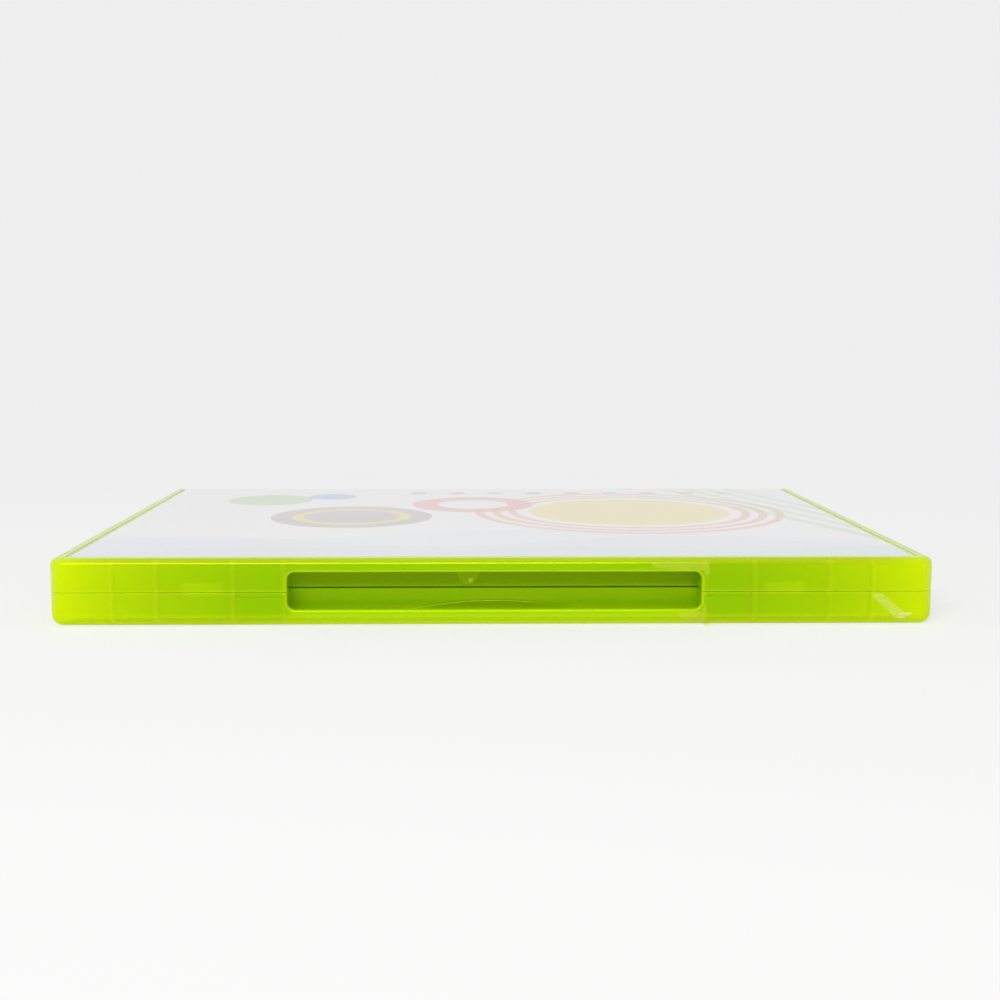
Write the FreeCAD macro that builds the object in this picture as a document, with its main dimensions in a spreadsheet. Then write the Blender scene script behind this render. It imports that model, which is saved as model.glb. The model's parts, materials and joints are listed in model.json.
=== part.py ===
import FreeCAD, Part
import Sketcher
import os

# A keep case for one optical disc, closed and lying on its back.
# X runs along the spine, -Y is the opening edge, +Y the spine, Z is up and 0 is the table.
# The two halves, the spine and the hub button are one moulding, split where it bends.

# Alias, value in millimetres (shares and counts are plain numbers), meaning.
SIZES = [
    ("case_length", 190.0, "outside length along the spine"),
    ("case_thickness", 14.6, "outside thickness when closed"),
    ("wall", 1.2, "outer and inner walls of the opening edge and the end walls"),
    ("plate", 1.2, "front and back panels"),
    ("recess", 0.4, "depth of the pocket for sheet and film below the rims"),
    ("end_rim", 3.0, "width of the raised rim along each end"),
    ("front_rim", 3.0, "width of the raised margin along the opening edge"),
    ("corner_radius", 3.0, "outside corners seen from above"),
    ("cover_edge", 1.6, "rounded outside edges of the front face"),
    ("tray_edge", 2.4, "rounded outside edges of the back face"),
    ("parting_gap", 0.1, "gap between the closed halves"),
    ("parting_break", 0.1, "rounded edges of the parting line"),
    ("slot_break", 0.5, "rounded edges of the finger slot"),
    ("inner_wall_gap", 0.3, "gap between the inner walls of the two halves"),
    ("channel", 4.8, "space between outer and inner wall of the opening edge"),
    ("rib", 1.0, "ribs across that space"),
    ("rib_share_slot", 0.23, "rib next to the slot, as a share of the bay beside the slot"),
    ("rib_share_latch", 0.56, "rib beyond the latch, as a share of that bay"),
    ("rib_share_end", 0.75, "rib next to the end wall, as a share of that bay"),
    ("slot_length", 88.8, "finger slot in the opening edge"),
    ("slot_lip_back", 3.5, "band left under the slot"),
    ("slot_lip_front", 3.0, "band left above the slot"),
    ("slot_corner", 1.6, "corner radius of the slot"),
    ("relief_height", 1.0, "shallow step below the parting line beside the slot"),
    ("relief_depth", 0.3, "that step, inwards"),
    ("arch_width", 23.0, "raised arch on the inner wall behind the slot, half its width"),
    ("arch_rise", 3.1, "top of the arch above the panel's inside"),
    ("arch_height", 0.6, "arch above the face of the inner wall"),
    ("arch_round", 0.4, "rounded edge of the arch"),
    ("tongue_share", 0.365, "centre of the latch tongue, as a share of the bay"),
    ("tongue_width", 8.0, "latch tongue along the edge"),
    ("tongue_thickness", 1.2, "latch tongue"),
    ("tongue_rise", 1.8, "reach of the tongue into the front half"),
    ("tongue_bevel", 1.3, "sloping corners of the tongue"),
    ("tongue_gap", 0.35, "clearance between tongue and outer wall"),
    ("gate_place", -5.8, "moulding gate, along the edge"),
    ("gate_radius", 2.0, "moulding gate, a low round boss"),
    ("gate_height", 0.3, "height of the gate boss"),
    ("gate_drop", 4.3, "gate centre below the front face"),
    ("spine_thickness", 1.3, "spine plate, with its edges fully round on the hinge lines"),
    ("spine_bevel", 1.2, "sloping corners of the spine"),
    ("hinge_gap", 0.15, "clearance between panel and spine"),
    ("disc_diameter", 120.0, "disc"),
    ("disc_bore", 15.0, "hole of the disc"),
    ("disc_thickness", 1.2, "disc"),
    ("stack_ring_radius", 17.0, "raised ring on the underside of the disc"),
    ("stack_ring_width", 0.8, "that ring"),
    ("stack_ring_height", 0.2, "that ring"),
    ("well_clearance", 1.5, "space between disc and well wall"),
    ("well_wall", 1.2, "round wall of the disc well"),
    ("well_rim", 0.4, "height of the well wall above the disc"),
    ("well_front_gap", 0.8, "from the inner wall to the well"),
    ("well_back_gap", 0.95, "from the well wall to the panel's end"),
    ("well_notch", 44.0, "finger notches in the well wall"),
    ("ramp_rise", 4.2, "sloping foot of the inner wall, height"),
    ("ramp_run", 5.0, "sloping foot of the inner wall, depth"),
    ("seat_rise", 2.0, "height of the disc seat above the panel"),
    ("seat_gap", 1.2, "from the disc's hole to the seat ring"),
    ("seat_width", 7.0, "seat ring, inside the stacking ring"),
    ("finger_gap", 0.25, "clearance between the hub fingers and the disc's hole"),
    ("finger_wall", 2.0, "hub fingers"),
    ("finger_count", 8, "hub fingers, and the slits between them"),
    ("finger_slit", 1.1, "slits between the fingers"),
    ("lip_reach", 0.3, "reach of the fingers' lips over the disc"),
    ("lip_gap", 0.15, "clearance between lips and disc"),
    ("lip_height", 0.6, "lips of the fingers"),
    ("finger_crown", 0.3, "finger tips above the lips"),
    ("button_gap", 0.3, "clearance around the hub button"),
    ("button_thickness", 1.1, "hub button"),
    ("button_dish", 0.4, "depth of the thumb dish in the button"),
    ("button_rim", 0.9, "rim around that dish"),
    ("clip_place", 55.0, "booklet clips, from the middle"),
    ("clip_radius", 8.0, "half-round clips"),
    ("clip_thickness", 0.9, "clips"),
    ("clip_back", 2.4, "from the rear clips' posts to the panel's end"),
    ("manual_slot", 2.0, "height under the clips"),
    ("manual_thickness", 1.7, "booklet"),
    ("manual_end_gap", 5.0, "from booklet to end walls"),
    ("manual_side_gap", 0.8, "from booklet to inner wall and rear clips"),
    ("manual_corner", 0.8, "fold radius of the booklet"),
    ("staple_place", 45.0, "staples, from the middle"),
    ("staple_length", 12.0, "staples"),
    ("staple_wire", 0.4, "staples"),
    ("sheet_thickness", 0.15, "printed sheet"),
    ("film_thickness", 0.10, "clear film"),
    ("layer_gap", 0.03, "air between panel, sheet and film"),
    ("sheet_margin", 0.7, "from the rims to the sheet"),
    ("film_margin", 0.15, "from the rims to the film"),
]

doc = FreeCAD.newDocument("disc_case")
sheet = doc.addObject("Spreadsheet::Sheet", "Sizes")
for row, (alias, value, meaning) in enumerate(SIZES, start=1):
    sheet.set(f"A{row}", alias)
    sheet.set(f"B{row}", str(value))
    sheet.set(f"C{row}", meaning)
    sheet.setAlias(f"B{row}", alias)
doc.recompute()

# Places along X
HALF_LENGTH = "(Sizes.case_length / 2)"
SLOT_END = "(Sizes.slot_length / 2)"
BAY = f"({HALF_LENGTH} - Sizes.wall - {SLOT_END})"
RIBS = [f"({SLOT_END} + Sizes.rib_share_{name} * {BAY})" for name in ("slot", "latch", "end")]
TONGUE = f"({SLOT_END} + Sizes.tongue_share * {BAY})"

# Places along Y, from the opening edge to the hinges; the disc sets the depth of the case.
WELL_RADIUS = "(Sizes.disc_diameter / 2 + Sizes.well_clearance)"
FRONT_PART = "(2 * Sizes.wall + Sizes.channel + Sizes.well_front_gap)"
BACK_PART = "(Sizes.well_wall + Sizes.well_back_gap)"
SPINE_PART = "(Sizes.hinge_gap + Sizes.spine_thickness + Sizes.recess)"
HALF_DEPTH = f"(({FRONT_PART} + 2 * {WELL_RADIUS} + {BACK_PART} + {SPINE_PART}) / 2)"
FRONT = f"(-{HALF_DEPTH})"
FRONT_INSIDE = f"({FRONT} + Sizes.wall)"
INNER_WALL = f"({FRONT_INSIDE} + Sizes.channel)"
INSIDE = f"({INNER_WALL} + Sizes.wall)"
WELL_CENTRE = f"({FRONT} + {FRONT_PART} + {WELL_RADIUS})"
PANEL_END = f"({HALF_DEPTH} - {SPINE_PART})"
HINGE = f"({PANEL_END} + Sizes.hinge_gap + Sizes.spine_thickness / 2)"
PAST_END = f"({PANEL_END} + Sizes.wall)"

# Depths inwards from the outer face of either half
FLOOR = "(Sizes.recess + Sizes.plate)"
PARTING = "(Sizes.case_thickness / 2 - Sizes.parting_gap / 2)"
INNER_TOP = "(Sizes.case_thickness / 2 - Sizes.inner_wall_gap / 2)"
HINGE_LEVEL = "(Sizes.recess + Sizes.spine_thickness / 2)"
SHEET_OUT = "(Sizes.recess - Sizes.layer_gap - Sizes.sheet_thickness)"
FILM_OUT = f"({SHEET_OUT} - Sizes.layer_gap - Sizes.film_thickness)"

# Levels inside the back half
SEAT = f"({FLOOR} + Sizes.seat_rise)"
DISC_TOP = f"({SEAT} + Sizes.disc_thickness)"
LIP = f"({DISC_TOP} + Sizes.lip_gap)"
LIP_TOP = f"({LIP} + Sizes.lip_height)"
HUB_TOP = f"({LIP_TOP} + Sizes.finger_crown)"
BORE_RADIUS = "(Sizes.disc_bore / 2)"
FINGER_OUT = f"({BORE_RADIUS} - Sizes.finger_gap)"
FINGER_IN = f"({FINGER_OUT} - Sizes.finger_wall)"
LIP_RADIUS = f"({BORE_RADIUS} + Sizes.lip_reach)"


def number(expression):
    """The present value of an expression of sheet cells."""
    return float(sheet.evalExpression(expression))


def bind(sketch, kind, *where, to):
    """A dimension of the sketch that follows the sheet."""
    index = sketch.addConstraint(Sketcher.Constraint(kind, *where, number(to)))
    sketch.setExpression(f"Constraints[{index}]", to)


def pin(sketch, geometry, point, x, y):
    """Holds one point of the sketch at given distances from the sketch's origin."""
    bind(sketch, "DistanceX", -1, 1, geometry, point, to=x)
    bind(sketch, "DistanceY", -1, 1, geometry, point, to=y)


def outline(*points):
    """A closed outline of straight lines."""
    def draw(sketch):
        corners = [FreeCAD.Vector(number(x), number(y), 0) for x, y in points]
        first = sketch.GeometryCount
        count = len(corners)
        for index in range(count):
            line = Part.LineSegment(corners[index], corners[(index + 1) % count])
            sketch.addGeometry(line)
        for index in range(count):
            following = first + (index + 1) % count
            sketch.addConstraint(Sketcher.Constraint("Coincident", first + index, 2, following, 1))
        for index, (x, y) in enumerate(points):
            pin(sketch, first + index, 1, x, y)
    return draw


def rectangle(left, right, near, far):
    return outline((left, near), (right, near), (right, far), (left, far))


def both_ends(near, far, front, back):
    """The same rectangle at the right and at the left end."""
    return [rectangle(near, far, front, back), rectangle(f"-{far}", f"-{near}", front, back)]


def circle(x, y, radius):
    def draw(sketch):
        centre = FreeCAD.Vector(number(x), number(y), 0)
        index = sketch.addGeometry(Part.Circle(centre, FreeCAD.Vector(0, 0, 1), number(radius)))
        bind(sketch, "Radius", index, to=radius)
        pin(sketch, index, 3, x, y)
    return draw


def segment(x, base, half_width, rise, facing):
    """An arc on a straight edge along the first axis, bulging up (facing 1) or down (facing -1)."""
    radius = f"(({half_width} ^ 2 + {rise} ^ 2) / (2 * {rise}))"
    middle = f"({base} + {facing} * ({rise} - {radius}))"

    def draw(sketch):
        foot = FreeCAD.Vector(number(x), number(base), 0)
        reach = FreeCAD.Vector(number(half_width), 0, 0)
        bulge = FreeCAD.Vector(0, facing * number(rise), 0)
        arc = sketch.addGeometry(Part.Arc(foot + reach, foot + bulge, foot - reach))
        starts = sketch.Geometry[arc].StartPoint
        ends = sketch.Geometry[arc].EndPoint
        line = sketch.addGeometry(Part.LineSegment(ends, starts))
        sketch.addConstraint(Sketcher.Constraint("Coincident", arc, 2, line, 1))
        sketch.addConstraint(Sketcher.Constraint("Coincident", line, 2, arc, 1))
        sketch.addConstraint(Sketcher.Constraint("Horizontal", line))
        bind(sketch, "Radius", arc, to=radius)
        bind(sketch, "DistanceY", -1, 1, line, 1, to=base)
        pin(sketch, arc, 3, x, middle)
    return draw


def half_disc(x, y, radius, facing):
    return segment(x, y, radius, radius, facing)


def round_ended(x, low, high, radius):
    """An upright plate section whose two ends are half circles about (x, low) and (x, high)."""
    def draw(sketch):
        across = FreeCAD.Vector(number(radius), 0, 0)
        along = FreeCAD.Vector(0, number(radius), 0)
        bottom = FreeCAD.Vector(number(x), number(low), 0)
        top = FreeCAD.Vector(number(x), number(high), 0)
        right = sketch.addGeometry(Part.LineSegment(bottom + across, top + across))
        upper = sketch.addGeometry(Part.Arc(top + across, top + along, top - across))
        left = sketch.addGeometry(Part.LineSegment(top - across, bottom - across))
        lower = sketch.addGeometry(Part.Arc(bottom - across, bottom - along, bottom + across))
        for first, second in ((right, upper), (upper, left), (left, lower), (lower, right)):
            sketch.addConstraint(Sketcher.Constraint("Tangent", first, 2, second, 1))
        bind(sketch, "Radius", upper, to=radius)
        pin(sketch, upper, 3, x, high)
        pin(sketch, lower, 3, x, low)
    return draw


def new_sketch(body, name, role, shapes, offset, centre="0"):
    """A sketch on an origin plane of the body, moved along its normal, and by centre along Y."""
    sketch = body.newObject("Sketcher::SketchObject", name + "_sketch")
    plane = next(item for item in body.Origin.OriginFeatures if item.Role == role)
    sketch.AttachmentSupport = [(plane, "")]
    sketch.MapMode = "FlatFace"
    sketch.setExpression("AttachmentOffset.Base.z", offset)
    sketch.setExpression("AttachmentOffset.Base.y", centre)
    for draw in shapes:
        draw(sketch)
    return sketch


def extrude(body, kind, name, sketch, length, backwards=False):
    """A Pad or a Pocket; backwards turns it against the usual side of the sketch."""
    feature = body.newObject("PartDesign::" + kind, name)
    feature.Profile = sketch
    feature.setExpression("Length", length)
    feature.Reversed = backwards
    return feature


def repeat_round(body, feature, sketch, count):
    """Copies of a feature around the normal of its sketch."""
    pattern = body.newObject("PartDesign::PolarPattern", feature.Name + "_ring")
    pattern.Originals = [feature]
    pattern.Axis = (sketch, ["N_Axis"])
    pattern.Angle = 360
    pattern.setExpression("Occurrences", count)
    body.Tip = pattern
    return pattern


def round_edges(body, name, radius, chosen):
    """Rounds those edges of the body so far for which chosen(edge) holds."""
    doc.recompute()
    base = body.Tip
    names = [f"Edge{i}" for i, edge in enumerate(base.Shape.Edges, start=1) if chosen(edge)]
    feature = body.newObject("PartDesign::Fillet", name)
    feature.Base = (base, names)
    feature.setExpression("Radius", radius)
    return feature


def near(value, expression):
    return abs(value - number(expression)) < 1e-4


def at_level(edge, level):
    return near(edge.BoundBox.ZMin, level) and near(edge.BoundBox.ZMax, level)


def at_depth(edge, depth):
    return near(edge.BoundBox.YMin, depth) and near(edge.BoundBox.YMax, depth)


def upright_at(edge, x, y):
    """True for a straight edge along Z at +x or -x and y."""
    box = edge.BoundBox
    return box.XLength + box.YLength < 1e-4 and near(abs(box.XMin), x) and near(box.YMin, y)


def middle_of(edge):
    return edge.valueAt((edge.FirstParameter + edge.LastParameter) / 2)


def on_outside(edge):
    """True for an edge on the upright outside of the case, with its two rounded corners."""
    middle = middle_of(edge)
    radius = number("Sizes.corner_radius")
    across = abs(middle.x) - number(HALF_LENGTH) + radius
    along = number(FRONT) + radius - middle.y
    if across > 0 and along > 0:
        return abs((across ** 2 + along ** 2) ** 0.5 - radius) < 1e-3
    return near(abs(middle.x), HALF_LENGTH) or near(middle.y, FRONT)


class Half:
    """One half of the moulding; depths are measured inwards from its outer face."""

    def __init__(self, label, outer_face, inwards, edge_radius):
        self.body = doc.addObject("PartDesign::Body", label)
        self.outer_face = outer_face
        self.inwards = inwards
        self.edge_radius = edge_radius

    def level(self, depth):
        sign = "+" if self.inwards > 0 else "-"
        return f"({self.outer_face} {sign} {depth})"

    def add(self, name, shapes, start, end):
        """Material between two depths."""
        sketch = new_sketch(self.body, name, "XY_Plane", shapes, self.level(start))
        return extrude(self.body, "Pad", name, sketch, f"{end} - {start}", self.inwards < 0)

    def cut(self, name, shapes, start, end):
        """Removes what lies between two depths."""
        sketch = new_sketch(self.body, name, "XY_Plane", shapes, self.level(start))
        return extrude(self.body, "Pocket", name, sketch, f"{end} - {start}", self.inwards > 0)

    def shell(self):
        """Panel, rims and outer walls."""
        block = [rectangle(f"-{HALF_LENGTH}", HALF_LENGTH, FRONT, PANEL_END)]
        self.add("block", block, "0", PARTING)
        round_edges(self.body, "plan_corners", "Sizes.corner_radius",
                    lambda edge: upright_at(edge, HALF_LENGTH, FRONT))
        round_edges(self.body, "outer_edges", self.edge_radius,
                    lambda edge: at_level(edge, self.level("0")) and not at_depth(edge, PANEL_END))
        hollow_x = f"({HALF_LENGTH} - Sizes.wall)"
        hollow = [rectangle(f"-{hollow_x}", hollow_x, FRONT_INSIDE, PAST_END)]
        self.cut("hollow", hollow, FLOOR, PARTING)
        round_edges(self.body, "hollow_corners", "Sizes.corner_radius - Sizes.wall",
                    lambda edge: upright_at(edge, hollow_x, FRONT_INSIDE))
        pocket_x = f"({HALF_LENGTH} - Sizes.end_rim)"
        pocket = [rectangle(f"-{pocket_x}", pocket_x, f"({FRONT} + Sizes.front_rim)", PAST_END)]
        self.cut("sheet_pocket", pocket, "0", "Sizes.recess")

    def opening_edge(self):
        """Inner wall, ribs and finger slot."""
        wall_x = f"({HALF_LENGTH} - Sizes.wall)"
        inner_wall = [rectangle(f"-{wall_x}", wall_x, INNER_WALL, INSIDE)]
        self.add("inner_wall", inner_wall, FLOOR, INNER_TOP)
        self.add("slot_ends", both_ends(SLOT_END, f"({SLOT_END} + Sizes.wall)", FRONT_INSIDE, INNER_WALL),
                 FLOOR, PARTING)
        ribs = []
        for place in RIBS:
            near_side = f"({place} - Sizes.rib / 2)"
            far_side = f"({place} + Sizes.rib / 2)"
            ribs += both_ends(near_side, far_side, FRONT_INSIDE, INNER_WALL)
        self.add("ribs", ribs, FLOOR, INNER_TOP)
        top = "(Sizes.case_thickness - Sizes.slot_lip_front)"
        window = [rectangle(f"-{SLOT_END}", SLOT_END, "Sizes.slot_lip_back", top)]
        sketch = new_sketch(self.body, "slot", "XZ_Plane", window, HALF_DEPTH)
        extrude(self.body, "Pocket", "slot", sketch, "Sizes.wall")
        lip = "Sizes.slot_lip_back" if self.inwards > 0 else top
        round_edges(self.body, "slot_corners", "Sizes.slot_corner",
                    lambda edge: at_level(edge, lip) and edge.BoundBox.XLength < 1e-4
                    and near(abs(edge.BoundBox.XMin), SLOT_END) and near(edge.BoundBox.YMin, FRONT))
        round_edges(self.body, "slot_break", "Sizes.slot_break", lambda edge: self.on_slot(edge, lip))
        round_edges(self.body, "parting_break", "Sizes.parting_break",
                    lambda edge: on_outside(edge) and at_level(edge, self.level(PARTING)))

    def on_slot(self, edge, lip):
        """True for an edge of the outer face that bounds the slot."""
        middle = middle_of(edge)
        depth = abs(middle.z - number(self.outer_face))
        lip_depth = abs(number(lip) - number(self.outer_face))
        return at_depth(edge, FRONT) and abs(middle.x) < number(SLOT_END) + 1e-3 and depth > lip_depth - 1e-3


def build_back_tray():
    tray = Half("back_tray", "0", 1, "Sizes.tray_edge")
    tray.shell()
    tray.opening_edge()
    body = tray.body

    # A shallow step below the parting line on both sides of the slot
    relief = both_ends(f"({SLOT_END} + Sizes.wall)", f"({RIBS[0]} - Sizes.rib / 2)",
                       FRONT, f"({FRONT} + Sizes.relief_depth)")
    tray.cut("edge_relief", relief, f"({PARTING} - Sizes.relief_height)", PARTING)

    # A raised arch on the inner wall, seen through the slot
    arch = [segment("0", FLOOR, "Sizes.arch_width", "Sizes.arch_rise", 1)]
    sketch = new_sketch(body, "arch", "XZ_Plane", arch, f"(-{INNER_WALL})")
    extrude(body, "Pad", "arch", sketch, "Sizes.arch_height")
    arch_face = f"({INNER_WALL} - Sizes.arch_height)"
    round_edges(body, "arch_round", "Sizes.arch_round",
                lambda edge: at_depth(edge, arch_face) and edge.BoundBox.ZLength > number("Sizes.arch_round"))

    # The sloping foot of the inner wall, and the round wall of the disc well
    foot = [outline((INNER_WALL, FLOOR), (f"({INSIDE} + Sizes.ramp_run)", FLOOR),
                    (INSIDE, f"({FLOOR} + Sizes.ramp_rise)"), (INNER_WALL, f"({FLOOR} + Sizes.ramp_rise)"))]
    ramp = extrude(body, "Pad", "ramp", new_sketch(body, "ramp", "YZ_Plane", foot, "0"), "Sizes.slot_length")
    ramp.Midplane = True
    well_top = f"({DISC_TOP} + Sizes.well_rim)"
    outside = circle("0", WELL_CENTRE, f"({WELL_RADIUS} + Sizes.well_wall)")
    inside = circle("0", WELL_CENTRE, WELL_RADIUS)
    tray.add("well_wall", [outside, inside], FLOOR, well_top)
    tray.cut("well", [inside], FLOOR, PARTING)
    notch_in = f"(sqrt({WELL_RADIUS} ^ 2 - (Sizes.well_notch / 2) ^ 2) - Sizes.well_wall)"
    notch_out = f"({WELL_RADIUS} + 2 * Sizes.well_wall)"
    notches = both_ends(notch_in, notch_out, f"({WELL_CENTRE} - Sizes.well_notch / 2)",
                        f"({WELL_CENTRE} + Sizes.well_notch / 2)")
    tray.cut("finger_notches", notches, FLOOR, well_top)

    # Seat ring, and the ring of hub fingers with lips that hold the disc
    seat_in = f"({BORE_RADIUS} + Sizes.seat_gap)"
    tray.add("seat", [circle("0", WELL_CENTRE, f"({seat_in} + Sizes.seat_width)"),
                      circle("0", WELL_CENTRE, seat_in)], FLOOR, SEAT)
    tray.add("fingers", [circle("0", WELL_CENTRE, FINGER_OUT), circle("0", WELL_CENTRE, FINGER_IN)],
             FLOOR, HUB_TOP)
    tray.add("lips", [circle("0", WELL_CENTRE, LIP_RADIUS), circle("0", WELL_CENTRE, FINGER_IN)],
             LIP, LIP_TOP)
    slit = [rectangle(f"({FINGER_IN} - Sizes.finger_gap)", f"({LIP_RADIUS} + Sizes.finger_gap)",
                      "-Sizes.finger_slit / 2", "Sizes.finger_slit / 2")]
    sketch = new_sketch(body, "slit", "XY_Plane", slit, FLOOR, WELL_CENTRE)
    first_slit = extrude(body, "Pocket", "slit", sketch, f"{HUB_TOP} - {FLOOR}", True)
    repeat_round(body, first_slit, sketch, "Sizes.finger_count")

    # Latch tongues behind the outer wall, reaching into the front half
    top = f"({PARTING} + Sizes.tongue_rise)"
    shoulder = f"({top} - Sizes.tongue_bevel)"
    tongues = []
    for side in ("", "-"):
        left = f"({side}{TONGUE} - Sizes.tongue_width / 2)"
        right = f"({side}{TONGUE} + Sizes.tongue_width / 2)"
        tongues.append(outline((left, FLOOR), (right, FLOOR), (right, shoulder),
                               (f"({right} - Sizes.tongue_bevel)", top),
                               (f"({left} + Sizes.tongue_bevel)", top), (left, shoulder)))
    face = f"(-({FRONT_INSIDE} + Sizes.tongue_gap))"
    sketch = new_sketch(body, "tongues", "XZ_Plane", tongues, face)
    extrude(body, "Pad", "tongues", sketch, "Sizes.tongue_thickness", True)
    return body


def build_front_cover():
    cover = Half("front_cover", "Sizes.case_thickness", -1, "Sizes.cover_edge")
    cover.shell()
    cover.opening_edge()
    body = cover.body

    # Half-round booklet clips: two on the inner wall, two on posts near the spine
    clip_top = f"({FLOOR} + Sizes.manual_slot)"
    clip_end = f"({clip_top} + Sizes.clip_thickness)"
    post = f"({PANEL_END} - Sizes.clip_back - Sizes.wall)"
    clips = []
    posts = []
    for side in ("", "-"):
        place = f"({side}Sizes.clip_place)"
        clips += [half_disc(place, INSIDE, "Sizes.clip_radius", 1), half_disc(place, post, "Sizes.clip_radius", -1)]
        posts.append(rectangle(f"({place} - Sizes.clip_radius)", f"({place} + Sizes.clip_radius)",
                               post, f"({post} + Sizes.wall)"))
    cover.add("clip_posts", posts, FLOOR, clip_end)
    cover.add("clips", clips, clip_top, clip_end)

    # The mark of the moulding gate, inside the finger slot
    gate = [circle("Sizes.gate_place", "(Sizes.case_thickness - Sizes.gate_drop)", "Sizes.gate_radius")]
    sketch = new_sketch(body, "gate", "XZ_Plane", gate, f"(-{INNER_WALL})")
    extrude(body, "Pad", "gate", sketch, "Sizes.gate_height")
    return body


def build_spine():
    body = doc.addObject("PartDesign::Body", "spine")
    high = f"(Sizes.case_thickness - {HINGE_LEVEL})"
    section = [round_ended(HINGE, HINGE_LEVEL, high, "(Sizes.spine_thickness / 2)")]
    sketch = new_sketch(body, "plate", "YZ_Plane", section, "0")
    plate = extrude(body, "Pad", "plate", sketch, "Sizes.case_length")
    plate.Midplane = True
    rims = both_ends(f"({HALF_LENGTH} - Sizes.end_rim)", HALF_LENGTH, HINGE_LEVEL, high)
    sketch = new_sketch(body, "rims", "XZ_Plane", rims, f"(-{HALF_DEPTH} + Sizes.recess)")
    extrude(body, "Pad", "rims", sketch, "Sizes.recess", True)
    corners = []
    for side in ("", "-"):
        end = f"({side}{HALF_LENGTH})"
        start = f"({side}({HALF_LENGTH} - Sizes.spine_bevel))"
        bottom = "Sizes.recess"
        top = f"(Sizes.case_thickness - {bottom})"
        corners.append(outline((start, bottom), (end, bottom), (end, f"({bottom} + Sizes.spine_bevel)")))
        corners.append(outline((start, top), (end, top), (end, f"({top} - Sizes.spine_bevel)")))
    sketch = new_sketch(body, "corners", "XZ_Plane", corners, f"(-{HALF_DEPTH})")
    extrude(body, "Pocket", "corners", sketch, "Sizes.spine_thickness + Sizes.recess", True)
    return body


def build_hub_button():
    body = doc.addObject("PartDesign::Body", "hub_button")
    bottom = f"({HUB_TOP} - Sizes.button_thickness)"
    radius = f"({FINGER_IN} - Sizes.button_gap)"
    disc = [circle("0", "0", radius)]
    sketch = new_sketch(body, "cap", "XY_Plane", disc, bottom, WELL_CENTRE)
    extrude(body, "Pad", "cap", sketch, "Sizes.button_thickness")
    half_spoke = "(Sizes.finger_slit / 2 - Sizes.button_gap)"
    spoke = [rectangle(f"({radius} / 2)", FINGER_OUT, f"-{half_spoke}", half_spoke)]
    sketch = new_sketch(body, "spoke", "XY_Plane", spoke, bottom, WELL_CENTRE)
    first_spoke = extrude(body, "Pad", "spoke", sketch, "Sizes.button_thickness - Sizes.button_dish")
    repeat_round(body, first_spoke, sketch, "Sizes.finger_count")
    dish = [circle("0", "0", f"({radius} - Sizes.button_rim)")]
    sketch = new_sketch(body, "dish", "XY_Plane", dish, HUB_TOP, WELL_CENTRE)
    extrude(body, "Pocket", "dish", sketch, "Sizes.button_dish")
    return body


def build_disc():
    body = doc.addObject("PartDesign::Body", "game_disc")
    ring_in = "Sizes.stack_ring_radius"
    ring_out = "(Sizes.stack_ring_radius + Sizes.stack_ring_width)"
    ring_low = f"({SEAT} - Sizes.stack_ring_height)"
    rim = "(Sizes.disc_diameter / 2)"
    section = [outline((BORE_RADIUS, SEAT), (ring_in, SEAT), (ring_in, ring_low), (ring_out, ring_low),
                       (ring_out, SEAT), (rim, SEAT), (rim, DISC_TOP), (BORE_RADIUS, DISC_TOP))]
    sketch = new_sketch(body, "section", "XZ_Plane", section, f"(-{WELL_CENTRE})")
    turned = body.newObject("PartDesign::Revolution", "turned")
    turned.Profile = sketch
    turned.ReferenceAxis = (sketch, ["V_Axis"])
    turned.Angle = 360
    return body


def build_manual():
    body = doc.addObject("PartDesign::Body", "manual")
    half = f"({HALF_LENGTH} - Sizes.wall - Sizes.manual_end_gap)"
    fold = f"({INSIDE} + Sizes.manual_side_gap)"
    back = f"({PANEL_END} - Sizes.clip_back - Sizes.wall - Sizes.manual_side_gap)"
    low = f"(Sizes.case_thickness - {FLOOR} - Sizes.manual_slot)"
    sketch = new_sketch(body, "pages", "XY_Plane", [rectangle(f"-{half}", half, fold, back)], low)
    extrude(body, "Pad", "pages", sketch, "Sizes.manual_thickness")
    round_edges(body, "fold", "Sizes.manual_corner",
                lambda edge: at_depth(edge, fold) and edge.BoundBox.XLength > number(half))
    return body


def build_staples():
    """Two wires that lie along the fold of the booklet."""
    fold = f"({INSIDE} + Sizes.manual_side_gap)"
    middle = f"(Sizes.case_thickness - {FLOOR} - Sizes.manual_slot + Sizes.manual_thickness / 2)"
    wires = []
    for name, side in (("staple_right", ""), ("staple_left", "-")):
        wire = doc.addObject("Part::Cylinder", name)
        wire.setExpression("Radius", "Sizes.staple_wire / 2")
        wire.setExpression("Height", "Sizes.staple_length")
        wire.Placement.Rotation = FreeCAD.Rotation(FreeCAD.Vector(0, 1, 0), 90)
        wire.setExpression("Placement.Base.x", f"{side}Sizes.staple_place - Sizes.staple_length / 2")
        wire.setExpression("Placement.Base.y", f"{fold} - Sizes.staple_wire / 2")
        wire.setExpression("Placement.Base.z", middle)
        wires.append(wire)
    pair = doc.addObject("Part::Fuse", "manual_staples")
    pair.Base = wires[0]
    pair.Tool = wires[1]
    return pair


def build_layer(label, start, size):
    """A flat sheet: its lowest corner and its extents along X, Y and Z."""
    layer = doc.addObject("Part::Box", label)
    for axis, place in zip("xyz", start):
        layer.setExpression(f"Placement.Base.{axis}", place)
    for side, extent in zip(("Length", "Width", "Height"), size):
        layer.setExpression(side, extent)
    return layer


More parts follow.
